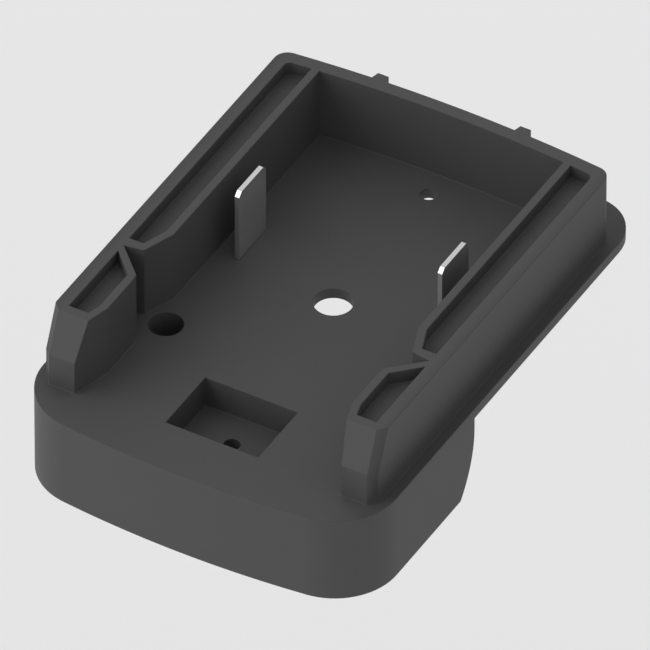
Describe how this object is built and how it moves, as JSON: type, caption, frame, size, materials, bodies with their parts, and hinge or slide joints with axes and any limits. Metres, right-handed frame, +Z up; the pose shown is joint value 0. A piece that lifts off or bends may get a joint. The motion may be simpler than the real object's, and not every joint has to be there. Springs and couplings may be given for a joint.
{
  "type": "tool battery adapter",
  "caption": "Slide-on adapter that takes a power tool battery pack between two rails and leads its current out through a fused outlet",
  "frame": {"origin": "centre of the wire hole, on the mounting face under the plate", "axes": "+X to the right seen from above with the nose to the front, +Y from the nose to the bowed rear wall, +Z up out of the plate towards the battery"},
  "size_m": [0.08, 0.115, 0.0369],
  "materials": {
    "tray_plastic": "moulded, very fine matte grain",
    "cover_plastic": "moulded, very fine matte grain",
    "screw_steel": "zinc plated",
    "nickel_plate": "nickel plated, satin",
    "brass": "machined",
    "tin_plate": "tin plated",
    "red_insulation": "soft insulation",
    "black_insulation": "soft insulation",
    "fuse_board": "laminate board",
    "fuse_glass": "clear",
    "fuse_wire": "tin plated wire",
    "block_nylon": "natural nylon",
    "grommet_rubber": "moulded rubber"
  },
  "bodies": {
    "root": {"tray_body": "tray_plastic", "nose_cover": "cover_plastic", "cover_screws": "screw_steel", "left_blade": "nickel_plate", "right_blade": "nickel_plate", "left_blade_insert": "brass", "right_blade_insert": "brass", "left_blade_screw": "screw_steel", "right_blade_screw": "screw_steel", "left_ring_terminal": "tin_plate", "right_ring_terminal": "tin_plate", "fused_lead": "red_insulation", "fuse_lead": "red_insulation", "return_lead": "black_insulation", "fuse_base": "fuse_board", "fuse_base_screws": "screw_steel", "rear_fuse_clip": "tin_plate", "front_fuse_clip": "tin_plate", "fuse_tube": "fuse_glass", "fuse_caps": "tin_plate", "fuse_element": "fuse_wire", "terminal_block": "block_nylon", "terminal_sleeves": "brass", "terminal_screws": "screw_steel", "terminal_block_screw": "screw_steel", "cable_grommet": "grommet_rubber"}
  },
  "joints": []
}
